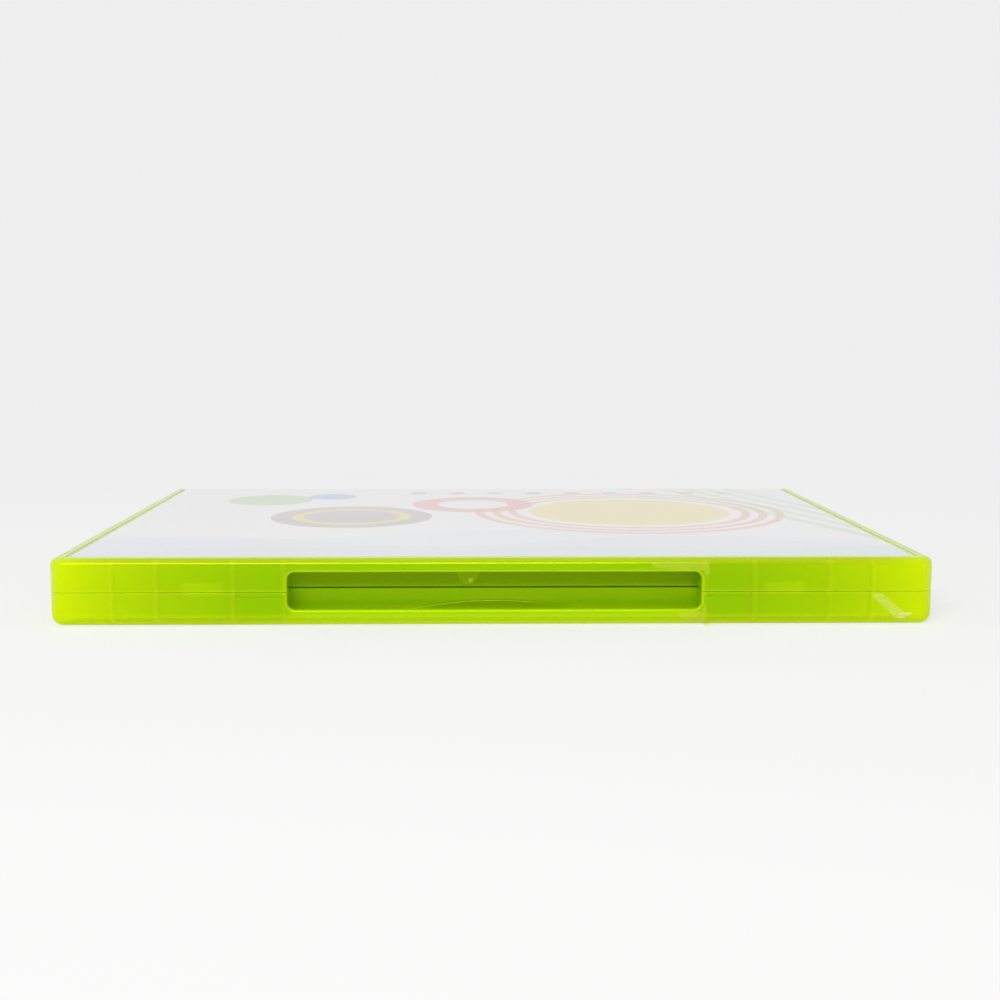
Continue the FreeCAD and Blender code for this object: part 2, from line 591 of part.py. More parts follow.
def build_layers(name, outermost, thickness, margin):
    """One sheet that lies on the front panel, the spine and the back panel, in its three flat pieces."""
    half = f"({HALF_LENGTH} - Sizes.end_rim - {margin})"
    front = f"({FRONT} + Sizes.front_rim + {margin})"
    depth = f"({PANEL_END} - {front})"
    spine_height = f"(Sizes.case_thickness - 2 * {HINGE_LEVEL})"
    length = f"(2 * {half})"
    inner = f"({outermost} + {thickness})"
    return [
        build_layer(f"{name}_back", (f"-{half}", front, outermost), (length, depth, thickness)),
        build_layer(f"{name}_spine", (f"-{half}", f"{HALF_DEPTH} - {inner}", HINGE_LEVEL),
                    (length, thickness, spine_height)),
        build_layer(f"{name}_front", (f"-{half}", front, f"Sizes.case_thickness - {inner}"),
                    (length, depth, thickness)),
    ]


parts = [build_back_tray(), build_hub_button(), build_spine(), build_front_cover()]
parts += [build_disc(), build_manual(), build_staples()]
parts += build_layers("cover_sheet", SHEET_OUT, "Sizes.sheet_thickness", "Sizes.sheet_margin")
parts += build_layers("film", FILM_OUT, "Sizes.film_thickness", "Sizes.film_margin")
doc.recompute()

for item in doc.Objects:
    if "Invalid" in item.State or "Error" in item.State:
        raise RuntimeError(f"{item.Label} did not recompute: {item.State}")
for part in parts:
    if part.Shape.isNull() or not part.Shape.isValid():
        raise RuntimeError(f"{part.Label} has no valid shape")

os.makedirs("parts", exist_ok=True)
for part in parts:
    part.Shape.exportStep(f"parts/{part.Label}.step")
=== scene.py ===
import bpy
import bmesh
import json
import math
from mathutils import Matrix, Vector


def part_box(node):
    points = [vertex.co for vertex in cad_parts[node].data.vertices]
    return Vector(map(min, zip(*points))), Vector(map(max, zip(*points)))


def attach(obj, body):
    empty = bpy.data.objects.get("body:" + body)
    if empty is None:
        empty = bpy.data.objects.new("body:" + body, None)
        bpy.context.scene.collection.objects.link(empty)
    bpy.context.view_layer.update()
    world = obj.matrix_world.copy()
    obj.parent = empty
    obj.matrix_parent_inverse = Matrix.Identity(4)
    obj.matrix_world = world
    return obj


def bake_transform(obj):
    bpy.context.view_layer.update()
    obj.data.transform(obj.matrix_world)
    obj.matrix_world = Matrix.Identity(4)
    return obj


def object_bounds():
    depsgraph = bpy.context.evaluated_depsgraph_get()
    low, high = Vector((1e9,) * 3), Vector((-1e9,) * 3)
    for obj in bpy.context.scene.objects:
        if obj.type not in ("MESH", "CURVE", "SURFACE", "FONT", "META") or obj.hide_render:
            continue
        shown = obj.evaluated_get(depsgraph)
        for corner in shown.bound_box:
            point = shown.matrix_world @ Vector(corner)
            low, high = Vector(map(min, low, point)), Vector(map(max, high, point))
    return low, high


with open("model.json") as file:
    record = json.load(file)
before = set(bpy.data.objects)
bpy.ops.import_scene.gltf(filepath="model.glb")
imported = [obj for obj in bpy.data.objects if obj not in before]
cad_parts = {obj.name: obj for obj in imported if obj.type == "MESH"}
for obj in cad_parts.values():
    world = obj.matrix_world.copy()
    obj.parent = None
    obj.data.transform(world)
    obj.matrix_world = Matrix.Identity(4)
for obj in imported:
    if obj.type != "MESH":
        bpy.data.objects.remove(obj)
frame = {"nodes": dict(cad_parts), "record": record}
cad_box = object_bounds()

MM = 0.001
CASE_LOW, CASE_HIGH = (Vector(corner) for corner in cad_box)
FRONT = CASE_LOW.y
TOP = CASE_HIGH.z
HALF_LENGTH = CASE_HIGH.x

# The photograph's camera: place in metres, turn in degrees, focal length in pixels of a square image
CAMERA_PLACE = Vector((-0.00709, -0.35839, 0.06245))
CAMERA_PITCH = -6.912
CAMERA_YAW = -1.590
CAMERA_ROLL = -0.164
FOCAL_PIXELS = 1380.6
IMAGE_PIXELS = 1000
SENSOR_WIDTH = 36.0
NEAREST_SEEN = 0.01


def add_camera():
    data = bpy.data.cameras.new("photo_camera")
    data.sensor_width = SENSOR_WIDTH
    data.lens = SENSOR_WIDTH * FOCAL_PIXELS / IMAGE_PIXELS
    data.clip_start = NEAREST_SEEN
    camera = bpy.data.objects.new("photo_camera", data)
    turn = Matrix.Rotation(math.radians(CAMERA_YAW), 4, "Z")
    turn = turn @ Matrix.Rotation(math.radians(CAMERA_PITCH), 4, "X")
    turn = turn @ Matrix.Rotation(math.radians(CAMERA_ROLL), 4, "Y")
    level = Matrix.Rotation(math.radians(90), 4, "X")
    camera.matrix_world = Matrix.Translation(CAMERA_PLACE) @ turn @ level
    bpy.context.collection.objects.link(camera)
    bpy.context.scene.camera = camera


# Studio: a white floor that fades into a white background, a pale world and one soft box.
# The fade runs between two distances from the floor's centre, in metres.

FLOOR_RADIUS = 3.0
FLOOR_SEGMENTS = 96
FLOOR_DROP = 0.05 * MM
FLOOR_MOTTLE = 3
FLOOR_PAINT = ((0.92, 0.92, 0.915), (0.93, 0.925, 0.92))
FLOOR_CENTRE = (0, -0.10, 0)
FLOOR_FADE = (0.12, 0.36)
FLOOR_WHITE = 1.0
FLOOR_OWN_SHARE = 0.5
BACKGROUND_WHITE = 0.86
WORLD_STRENGTH = 0.54
SOFT_BOX_PLACE = (-0.2, -0.95, 0.62)
SOFT_BOX_WIDTH = 0.8
SOFT_BOX_HEIGHT = 0.25
SOFT_BOX_WATTS = 7.8


def add_stage():
    mesh = bmesh.new()
    bmesh.ops.create_circle(mesh, cap_ends=True, segments=FLOOR_SEGMENTS, radius=FLOOR_RADIUS)
    bmesh.ops.translate(mesh, verts=mesh.verts, vec=(0, 0, -FLOOR_DROP))
    new_object("studio_floor", mesh, studio_white())


def add_light():
    world = bpy.data.worlds.new("studio")
    world.use_nodes = True
    tree = world.node_tree
    light = tree.nodes["Background"]
    set_inputs(light, Color=(1, 1, 1, 1), Strength=WORLD_STRENGTH)
    background = add_node(tree, "Background")
    set_inputs(background, Color=(1, 1, 1, 1), Strength=BACKGROUND_WHITE)
    tree.links.new(mix_shaders(tree, seen_directly(tree), light.outputs["Background"],
                               background.outputs["Background"]),
                   tree.nodes["World Output"].inputs["Surface"])
    bpy.context.scene.world = world
    data = bpy.data.lights.new("soft_box", "AREA")
    data.shape = "RECTANGLE"
    data.size = SOFT_BOX_WIDTH
    data.size_y = SOFT_BOX_HEIGHT
    data.energy = SOFT_BOX_WATTS
    lamp = bpy.data.objects.new("soft_box", data)
    lamp.location = SOFT_BOX_PLACE
    lamp.rotation_euler = (-Vector(SOFT_BOX_PLACE)).to_track_quat("-Z", "Y").to_euler()
    lamp.visible_camera = False
    bpy.context.collection.objects.link(lamp)


# Mesh helpers

def new_object(name, mesh, material):
    data = bpy.data.meshes.new(name)
    mesh.normal_update()
    mesh.to_mesh(data)
    mesh.free()
    data.materials.append(material)
    piece = bpy.data.objects.new(name, data)
    bpy.context.collection.objects.link(piece)
    return piece


def add_piece(name, mesh, material):
    bmesh.ops.recalc_face_normals(mesh, faces=mesh.faces)
    piece = new_object(name, mesh, material)
    return piece


def bar(profile, half_length):
    """A closed bar along X with the given outline in Y and Z."""
    mesh = bmesh.new()
    ends = [[mesh.verts.new((x, y, z)) for y, z in profile] for x in (-half_length, half_length)]
    mesh.faces.new(ends[0])
    mesh.faces.new(ends[1])
    count = len(profile)
    for index in range(count):
        following = (index + 1) % count
        mesh.faces.new((ends[0][index], ends[1][index], ends[1][following], ends[0][following]))
    return mesh


# Node helpers

def new_material(name):
    material = bpy.data.materials.new(name)
    material.use_nodes = True
    tree = material.node_tree
    tree.nodes.clear()
    output = tree.nodes.new("ShaderNodeOutputMaterial")
    return material, tree, output


def add_node(tree, kind, **settings):
    node = tree.nodes.new("ShaderNode" + kind)
    for name, value in settings.items():
        setattr(node, name, value)
    return node


def set_inputs(node, **values):
    for name, value in values.items():
        node.inputs[name.replace("_", " ")].default_value = value


def connect(tree, value, socket):
    """Sets a socket to a number, or links another node's output to it."""
    if isinstance(value, bpy.types.NodeSocket):
        tree.links.new(value, socket)
    else:
        socket.default_value = value


def math_node(tree, operation, first, second=0.0):
    node = add_node(tree, "Math", operation=operation)
    connect(tree, first, node.inputs[0])
    connect(tree, second, node.inputs[1])
    return node.outputs["Value"]


def give(node_name, material):
    """Puts a material on a CAD node."""
    data = frame["nodes"][node_name].data
    data.materials.clear()
    data.materials.append(material)


def place_in_case(tree):
    return add_node(tree, "TexCoord").outputs["Object"]


def noise(tree, scale, detail=2.0, stretch=(1, 1, 1)):
    mapping = add_node(tree, "Mapping")
    mapping.inputs["Scale"].default_value = stretch
    texture = add_node(tree, "TexNoise")
    set_inputs(texture, Scale=scale, Detail=detail)
    tree.links.new(place_in_case(tree), mapping.inputs["Vector"])
    tree.links.new(mapping.outputs["Vector"], texture.inputs["Vector"])
    return texture.outputs["Fac"]


def between(tree, factor, low, high, start=0.0, end=1.0):
    """A number that runs from low to high while the factor runs from start to end."""
    ramp = add_node(tree, "MapRange")
    set_inputs(ramp, To_Min=low, To_Max=high, From_Min=start, From_Max=end)
    tree.links.new(factor, ramp.inputs["Value"])
    return ramp.outputs["Result"]


def two_colours(tree, factor, first, second):
    mix = add_node(tree, "Mix", data_type="RGBA")
    for name, colour in (("A", first), ("B", second)):
        connect(tree, colour if isinstance(colour, bpy.types.NodeSocket) else (*colour, 1), mix.inputs[name])
    tree.links.new(factor, mix.inputs["Factor"])
    return mix.outputs["Result"]


def mix_shaders(tree, factor, first, second):
    mix = add_node(tree, "MixShader")
    connect(tree, factor, mix.inputs["Fac"])
    tree.links.new(first, mix.inputs[1])
    tree.links.new(second, mix.inputs[2])
    return mix.outputs["Shader"]


def bump(tree, height, strength, distance):
    node = add_node(tree, "Bump")
    set_inputs(node, Strength=strength, Distance=distance)
    tree.links.new(height, node.inputs["Height"])
    return node.outputs["Normal"]


def seen_directly(tree):
    """1 for what the eye sees directly, in a mirror or through glass, and 0 for light on other surfaces."""
    ray = add_node(tree, "LightPath")
    seen = ray.outputs["Is Camera Ray"]
    for kind in ("Is Glossy Ray", "Is Transmission Ray"):
        seen = math_node(tree, "MAXIMUM", seen, ray.outputs[kind])
    return seen


def slant(tree):
    """0 where a surface is seen head-on, 1 where it is seen edge-on."""
    facing = add_node(tree, "LayerWeight")
    set_inputs(facing, Blend=0.5)
    return facing.outputs["Facing"]


SLANT_POWER = 5.0


def mirror_share(tree, head_on):
    """The share of light that a smooth clear surface reflects."""
    return between(tree, math_node(tree, "POWER", slant(tree), SLANT_POWER), head_on, 1.0)


# Materials

class Fields:
    """Masks by place in the case's own frame.

    Middles, widths, radii and centres are in millimetres; values, limits and soft edges are in metres.
    """

    EDGE = 0.12 * MM

    def __init__(self, name):
        self.material, self.tree, self.output = new_material(name)
        self.place = place_in_case(self.tree)
        axes = add_node(self.tree, "SeparateXYZ")
        self.tree.links.new(self.place, axes.inputs["Vector"])
        self.x, self.y, self.z = axes.outputs

    def math(self, operation, first, second=0.0):
        return math_node(self.tree, operation, first, second)

    def below(self, value, limit, edge=EDGE):
        """1 where the value is under the limit, in metres, with a soft edge."""
        rest = self.math("SUBTRACT", value, limit)
        return between(self.tree, rest, 1.0, 0.0, -edge, edge)

    def near(self, value, middle, width, edge=EDGE):
        """1 where the value lies within a band."""
        off = self.math("ABSOLUTE", self.math("SUBTRACT", value, middle * MM))
        return self.below(off, width / 2 * MM, edge)

    def distance(self, centre):
        node = add_node(self.tree, "VectorMath", operation="DISTANCE")
        self.tree.links.new(self.place, node.inputs[0])
        node.inputs[1].default_value = [value * MM for value in centre]
        return node.outputs["Value"]

    def disc(self, centre, radius):
        return self.below(self.distance(centre), radius * MM)

    def ring(self, centre, radius, width):
        return self.near(self.distance(centre), radius, width)

    def strip(self, direction, middle, width):
        """A straight band across the given direction."""
        node = add_node(self.tree, "VectorMath", operation="DOT_PRODUCT")
        self.tree.links.new(self.place, node.inputs[0])
        node.inputs[1].default_value = Vector(direction).normalized()
        return self.near(node.outputs["Value"], middle, width)

    def wave(self, level, rise, length, shift):
        """Everything nearer the opening edge than a wavy line along X."""
        angle = self.math("MULTIPLY", self.math("ADD", self.x, shift * MM), 2 * math.pi / (length * MM))
        line = self.math("MULTIPLY", self.math("SINE", angle), rise * MM)
        return self.below(self.math("SUBTRACT", self.y, line), level * MM)

    def beyond(self, value, middle, half_width):
        """How far the value lies outside a band, in metres."""
        off = self.math("ABSOLUTE", self.math("SUBTRACT", value, middle * MM))
        return self.math("MAXIMUM", self.math("SUBTRACT", off, half_width * MM), 0.0)

    def both(self, first, second):
        return self.math("MULTIPLY", first, second)

    def either(self, first, second):
        return self.math("MAXIMUM", first, second)

    def outside(self, mask):
        return self.math("SUBTRACT", 1.0, mask)


PLASTIC_MIDDLE = ((0.38, 0.71, 0.001), (0.41, 0.73, 0.002))
# Painted light: the colour towards the ends, lighter where light comes in through the end walls
PLASTIC_LIT_ENDS = (0.86, 0.99, 0.003)
# Painted highlight colour for ribs, edges, the slot's rim, the parting line and marks
PLASTIC_HIGHLIGHT = (0.82, 1.0, 0.012)
# Painted shade colour for the walls behind the slot
PLASTIC_SHADE = (0.20, 0.30, 0.001)
# Painted highlight on the bead of plastic at the nub
PLASTIC_BEAD_HIGHLIGHT = (0.96, 1.0, 0.10)
PLASTIC_TINT = (0.90, 0.98, 0.20, 1)
PLASTIC_CLEARNESS = 0.30
PLASTIC_THICK_CLEARNESS = 0.23
PLASTIC_TRANSLUCENCE = 0.3
PLASTIC_MOTTLE = 60
PLASTIC_GRAIN = 500
PLASTIC_BUMP = 0.08
PLASTIC_BUMP_DEPTH = 0.05 * MM
GLOW_START = 40 * MM
GLOW_POWER = 2.0

# Gloss of the plastic: green where the front wall faces the eye, white at a slant; low on the front wall it
# stays green, a painted reflection of a green-lit floor, and grows weaker, painted shade
GLOSS_GREEN = (1.0, 1.0, 0.04)
GLOSS_WHITE = (1.0, 1.0, 1.0)
GLOSS_WHITE_SLANTS = (0.11, 0.52)
GLOSS_MIRROR = 0.05
GLOSS_GRAIN = 900
GLOSS_ROUGHNESS = (0.10, 0.18)
# Painted reflection and painted shade low on the front wall, by height
GLOSS_FLOOR_TINT = 0.95
GLOSS_FLOOR_TINT_LEVELS = (1.0 * MM, 7.0 * MM)
GLOSS_SHADE = 0.25
GLOSS_SHADE_LEVELS = (0.5 * MM, 3.5 * MM)

# Places on the moulding: in millimetres, with soft edges and levels in metres
WALL_SKIN = 0.6 * MM
FRONT_WALL_DEPTH = 4.0 * MM
FRONT_WALL_SOFTNESS = 1.5 * MM
RIB_PLACES = (45.0, 55.8, 72.1, 81.5)
RIB_WIDTH = 1.0
RIB_SOFTNESS = 0.4 * MM
LATCH_PLACE = 62.4
LATCH_WIDTH = 8.5
LATCH_SIDE_SOFTNESS = 0.8 * MM
LATCH_LEVEL = 8.2
LATCH_HEIGHT = 2.4
LATCH_SOFTNESS = 0.3 * MM
SLOT_HALF_LENGTH = 44.4
SLOT_MIDDLE = 7.55
SLOT_HALF_HEIGHT = 4.05
SLOT_CORNER = 1.6
SLOT_ROUNDING = 0.5
UNDER_SLOT_SIDE_SOFTNESS = 1.0 * MM
UNDER_SLOT_TOP = 3.0 * MM
UNDER_SLOT_SOFTNESS = 0.5 * MM
TOP_EDGE_LEVELS = (TOP - 1.4 * MM, TOP - 0.4 * MM)
BOTTOM_EDGE_LEVELS = (0.6 * MM, 2.8 * MM)
PARTING = 7.3
PARTING_WIDTH = 1.0
PARTING_SOFTNESS = 0.2 * MM
INNER_WALL = -61.8
INNER_WALL_WIDTH = 0.9
TRAY_WALL_TOP = 6.8
TRAY_WALL_TOP_WIDTH = 0.8
TRAY_WALL_TOP_SOFTNESS = 0.3 * MM
ARCH_FACE = -62.1
ARCH_TOP = 4.7
ARCH_RADIUS = 86.9
GATE_PLACE = (-5.8, -61.6, 10.3)
GATE_RADIUS = 2.1
GATE_RIM_WIDTH = 0.3
NUB_PLACE = (-5.1, -61.9, 9.0)
NUB_RADIUS = 0.5
NUB_HIGHLIGHT_RADIUS = 0.625

# How strongly each place takes the painted shade or the painted highlight colour
COVER_WALL_SHADE = 0.25
TRAY_WALL_SHADE = 0.15
ARCH_SHADE = 0.5
THICK_LIGHT = 0.15
TOP_EDGE_LIGHT = 0.9
BOTTOM_EDGE_LIGHT = 1.0
UNDER_SLOT_LIGHT = 0.3
SLOT_RIM_LIGHT = 0.6
PARTING_LIGHT = 0.35
TRAY_WALL_TOP_LIGHT = 0.05
GATE_LIGHT = 0.25
GATE_RIM_LIGHT = 0.5


class Moulding(Fields):
    """Masks for the places on the green moulding."""

    def __init__(self, name):
        super().__init__(name)
        self.along = self.math("ABSOLUTE", self.x)
        self.skin = self.below(self.y, FRONT + WALL_SKIN)
        self.inner_walls = self.near(self.y, INNER_WALL, INNER_WALL_WIDTH)

    def thick(self):
        """Ribs and latch tongues behind the front wall."""
        mask = self.both(self.near(self.along, LATCH_PLACE, LATCH_WIDTH, LATCH_SIDE_SOFTNESS),
                         self.near(self.z, LATCH_LEVEL, LATCH_HEIGHT, LATCH_SOFTNESS))
        for place in RIB_PLACES:
            mask = self.either(mask, self.near(self.along, place, RIB_WIDTH, RIB_SOFTNESS))
        return self.both(mask, self.skin)

    def slot_rim(self):
        """The rounded rim of the finger slot, within the wall's skin."""
        sideways = self.beyond(self.x, 0, SLOT_HALF_LENGTH - SLOT_CORNER)
        upwards = self.beyond(self.z, SLOT_MIDDLE, SLOT_HALF_HEIGHT - SLOT_CORNER)
        squares = self.math("ADD", self.both(sideways, sideways), self.both(upwards, upwards))
        rim = self.below(self.math("SQRT", squares), (SLOT_CORNER + SLOT_ROUNDING) * MM)
        return self.both(rim, self.skin)

    def under_slot(self):
        return self.both(self.near(self.x, 0, 2 * SLOT_HALF_LENGTH, UNDER_SLOT_SIDE_SOFTNESS),
                         self.below(self.z, UNDER_SLOT_TOP, UNDER_SLOT_SOFTNESS))

    def shaded(self):
        """Painted shade on the walls behind the slot, upper and lower, and on the lower one's arch, each
        with its strength.
        """
        low = self.below(self.z, PARTING * MM)
        arch = self.disc((0, ARCH_FACE, ARCH_TOP - ARCH_RADIUS), ARCH_RADIUS)
        return ((self.both(self.outside(low), self.inner_walls), COVER_WALL_SHADE),
                (self.both(low, self.inner_walls), TRAY_WALL_SHADE),
                (self.both(arch, self.inner_walls), ARCH_SHADE))

    def highlights(self):
        """Painted highlights and glow on edges and marks, each with its strength."""
        parting = self.near(self.z, PARTING, PARTING_WIDTH, PARTING_SOFTNESS)
        wall_top = self.near(self.z, TRAY_WALL_TOP, TRAY_WALL_TOP_WIDTH, TRAY_WALL_TOP_SOFTNESS)
        return ((between(self.tree, self.z, 0.0, 1.0, *TOP_EDGE_LEVELS), TOP_EDGE_LIGHT),
                (between(self.tree, self.z, 1.0, 0.0, *BOTTOM_EDGE_LEVELS), BOTTOM_EDGE_LIGHT),
                (self.under_slot(), UNDER_SLOT_LIGHT),
                (self.slot_rim(), SLOT_RIM_LIGHT),
                (self.both(parting, self.skin), PARTING_LIGHT),
                (self.both(wall_top, self.inner_walls), TRAY_WALL_TOP_LIGHT),
                (self.disc(GATE_PLACE, GATE_RADIUS), GATE_LIGHT),
                (self.ring(GATE_PLACE, GATE_RADIUS, GATE_RIM_WIDTH), GATE_RIM_LIGHT))

    def colour(self, thick):
        # Painted light: the colour grows lighter towards the ends, where light comes in through the end
        # walls
        ramp = between(self.tree, self.along, 0.0, 1.0, GLOW_START, HALF_LENGTH)
        middle = two_colours(self.tree, noise(self.tree, PLASTIC_MOTTLE), *PLASTIC_MIDDLE)
        colour = two_colours(self.tree, self.math("POWER", ramp, GLOW_POWER), middle, PLASTIC_LIT_ENDS)
        # Painted shade on the walls behind the slot and on the arch
        for mask, strength in self.shaded():
            colour = two_colours(self.tree, self.both(mask, strength), colour, PLASTIC_SHADE)
        # Painted highlights and glow: ribs, latch tongues, top and bottom edges, below the slot, the slot's
        # rim, the parting line, the tray wall's top and the gate mark are made lighter
        for mask, strength in ((thick, THICK_LIGHT), *self.highlights()):
            colour = two_colours(self.tree, self.both(mask, strength), colour, PLASTIC_HIGHLIGHT)
        # Painted highlight on the nub
        return two_colours(self.tree, self.disc(NUB_PLACE, NUB_HIGHLIGHT_RADIUS), colour, PLASTIC_BEAD_HIGHLIGHT)


def green_plastic():
    """Cloudy green plastic: less clear over ribs and latches, with painted highlights on ribs, edges and
    marks, painted shade behind the slot and painted light at the ends.
    """
    fields = Moulding("green_polypropylene")
    tree = fields.tree
    thick = fields.thick()
    colour = fields.colour(thick)
    bumps = bump(tree, noise(tree, PLASTIC_GRAIN), PLASTIC_BUMP, PLASTIC_BUMP_DEPTH)
    solid = add_node(tree, "BsdfDiffuse")
    through = add_node(tree, "BsdfTranslucent")
    clear = add_node(tree, "BsdfTransparent")
    gloss = add_node(tree, "BsdfGlossy")
    for shader in (solid, through):
        tree.links.new(colour, shader.inputs["Color"])
    for shader in (solid, through, gloss):
        tree.links.new(bumps, shader.inputs["Normal"])
    set_inputs(clear, Color=PLASTIC_TINT)
    front_wall = fields.below(fields.y, FRONT + FRONT_WALL_DEPTH, FRONT_WALL_SOFTNESS)
    # Painted reflection and painted shade low on the front wall: the gloss keeps its green there and grows
    # weaker towards the bottom
    floor_tint = fields.both(front_wall, between(tree, fields.z, GLOSS_FLOOR_TINT, 0.0, *GLOSS_FLOOR_TINT_LEVELS))
    gloss_shade = fields.both(front_wall, between(tree, fields.z, GLOSS_SHADE, 0.0, *GLOSS_SHADE_LEVELS))
    white = fields.both(between(tree, slant(tree), 0.0, 1.0, *GLOSS_WHITE_SLANTS), fields.outside(floor_tint))
    tree.links.new(two_colours(tree, white, GLOSS_GREEN, GLOSS_WHITE), gloss.inputs["Color"])
    tree.links.new(between(tree, noise(tree, GLOSS_GRAIN), *GLOSS_ROUGHNESS), gloss.inputs["Roughness"])
    cloudy = mix_shaders(tree, PLASTIC_TRANSLUCENCE, solid.outputs["BSDF"], through.outputs["BSDF"])
    clearness = between(tree, thick, PLASTIC_CLEARNESS, PLASTIC_THICK_CLEARNESS)
    body = mix_shaders(tree, clearness, cloudy, clear.outputs["BSDF"])
    share = fields.both(mirror_share(tree, GLOSS_MIRROR), fields.outside(gloss_shade))
    skin = mix_shaders(tree, share, body, gloss.outputs["BSDF"])
    tree.links.new(skin, fields.output.inputs["Surface"])
    return fields.material


FILM_MIRROR = 0.04
FILM_MOTTLE = 30
FILM_ROUGHNESS = (0.03, 0.09)
FILM_WAVES = 25
FILM_BUMP = 0.3
FILM_BUMP_DEPTH = 0.3 * MM


def clear_film():
    material, tree, output = new_material("clear_film")
    clear = add_node(tree, "BsdfTransparent")
    gloss = add_node(tree, "BsdfGlossy")
    set_inputs(gloss, Color=(1, 1, 1, 1))
    tree.links.new(between(tree, noise(tree, FILM_MOTTLE), *FILM_ROUGHNESS), gloss.inputs["Roughness"])
    tree.links.new(bump(tree, noise(tree, FILM_WAVES), FILM_BUMP, FILM_BUMP_DEPTH), gloss.inputs["Normal"])
    inside = add_node(tree, "NewGeometry").outputs["Backfacing"]
    outside = math_node(tree, "SUBTRACT", 1.0, inside)
    share = math_node(tree, "MULTIPLY", mirror_share(tree, FILM_MIRROR), outside)
    skin = mix_shaders(tree, share, clear.outputs["BSDF"], gloss.outputs["BSDF"])
    tree.links.new(skin, output.inputs["Surface"])
    return material


TAPE_MIRROR = 0.006
TAPE_ROUGHNESS = 0.2
TAPE_WRINKLES = 700
TAPE_DETAIL = 4.0
TAPE_STRETCH = (1, 1, 3)
TAPE_BUMP = 0.3
TAPE_BUMP_DEPTH = 0.1 * MM
TAPE_HAZE_SPREAD = (0.4, 1.6)
TAPE_HAZE_RANGE = (0.3, 0.7)


def tape(name, colour, haze):
    """Old clear tape: a little milky, with a few wrinkles."""
    material, tree, output = new_material(name)
    clear = add_node(tree, "BsdfTransparent")
    milk = add_node(tree, "BsdfDiffuse")
    gloss = add_node(tree, "BsdfGlossy")
    set_inputs(milk, Color=colour)
    set_inputs(gloss, Color=(1, 1, 1, 1), Roughness=TAPE_ROUGHNESS)
    wrinkles = noise(tree, TAPE_WRINKLES, TAPE_DETAIL, TAPE_STRETCH)
    tree.links.new(bump(tree, wrinkles, TAPE_BUMP, TAPE_BUMP_DEPTH), gloss.inputs["Normal"])
    least, most = (haze * spread for spread in TAPE_HAZE_SPREAD)
    body = mix_shaders(tree, between(tree, wrinkles, least, most, *TAPE_HAZE_RANGE),
                       clear.outputs["BSDF"], milk.outputs["BSDF"])
    skin = mix_shaders(tree, mirror_share(tree, TAPE_MIRROR), body, gloss.outputs["BSDF"])
    tree.links.new(skin, output.inputs["Surface"])
    return material


def studio_white():
    """White floor: it takes the case's shadow, and fades to the background's white further away."""
    material, tree, output = new_material("studio_white")
    shader = add_node(tree, "BsdfDiffuse")
    tree.links.new(two_colours(tree, noise(tree, FLOOR_MOTTLE), *FLOOR_PAINT), shader.inputs["Color"])
    white = add_node(tree, "Emission")
    far = add_node(tree, "VectorMath", operation="DISTANCE")
    tree.links.new(place_in_case(tree), far.inputs[0])
    far.inputs[1].default_value = FLOOR_CENTRE
    tree.links.new(between(tree, far.outputs["Value"], FLOOR_WHITE, BACKGROUND_WHITE, *FLOOR_FADE),
                   white.inputs["Strength"])
    share = math_node(tree, "MULTIPLY", seen_directly(tree),
                      between(tree, far.outputs["Value"], FLOOR_OWN_SHARE, 1.0, *FLOOR_FADE))
    tree.links.new(mix_shaders(tree, share, shader.outputs["BSDF"], white.outputs["Emission"]),
                   output.inputs["Surface"])
    return material


STEEL_MOTTLE = 3000
STEEL_GRAIN = 2000
STEEL_GREYS = ((0.55, 0.55, 0.54), (0.68, 0.68, 0.67))
STEEL_ROUGHNESS = (0.25, 0.45)


def steel():
    material, tree, output = new_material("staple_wire")
    shader = add_node(tree, "BsdfPrincipled")
    set_inputs(shader, Metallic=1.0)
    tree.links.new(two_colours(tree, noise(tree, STEEL_MOTTLE), *STEEL_GREYS), shader.inputs["Base Color"])
    tree.links.new(between(tree, noise(tree, STEEL_GRAIN), *STEEL_ROUGHNESS), shader.inputs["Roughness"])
    tree.links.new(shader.outputs["BSDF"], output.inputs["Surface"])
    return material


PAPER_MOTTLE = 300
PAPER_MOTTLE_DETAIL = 6.0
PAPER_GRAIN = 2500
PAPER_GRAIN_DETAIL = 4.0
PAPER_ROUGHNESS = 0.35
PAPER_BUMP = 0.1
PAPER_BUMP_DEPTH = 0.02 * MM


class Print(Fields):
    """Fields of colour on paper."""

    def __init__(self, name, first, second):
        super().__init__(name)
        mottle = noise(self.tree, PAPER_MOTTLE, PAPER_MOTTLE_DETAIL)
        self.colour = two_colours(self.tree, mottle, first, second)

    def paint(self, mask, colour, strength=1.0):
        if strength < 1.0:
            mask = self.math("MULTIPLY", mask, strength)
        self.colour = two_colours(self.tree, mask, self.colour, colour)

    def finish(self, roughness=PAPER_ROUGHNESS):
        shader = add_node(self.tree, "BsdfPrincipled")
        set_inputs(shader, Roughness=roughness)
        self.tree.links.new(self.colour, shader.inputs["Base Color"])
        fibres = noise(self.tree, PAPER_GRAIN, PAPER_GRAIN_DETAIL)
        grain = bump(self.tree, fibres, PAPER_BUMP, PAPER_BUMP_DEPTH)
        self.tree.links.new(grain, shader.inputs["Normal"])
        self.tree.links.new(shader.outputs["BSDF"], self.output.inputs["Surface"])
        return self.material


WHITE = (0.93, 0.925, 0.92)
BRIGHT_WHITE = (0.95, 0.945, 0.94)
YELLOW = (0.90, 0.72, 0.08)
ORANGE = (0.85, 0.30, 0.06)
CORAL = (0.80, 0.22, 0.16)
PLUM = (0.20, 0.09, 0.12)
SKY = (0.16, 0.42, 0.82)
BLUE = (0.07, 0.17, 0.55)
TEAL = (0.25, 0.62, 0.60)
LEAF = (0.32, 0.62, 0.16)
GREY = (0.45, 0.44, 0.45)
SHEET_DEPTH = 0.3


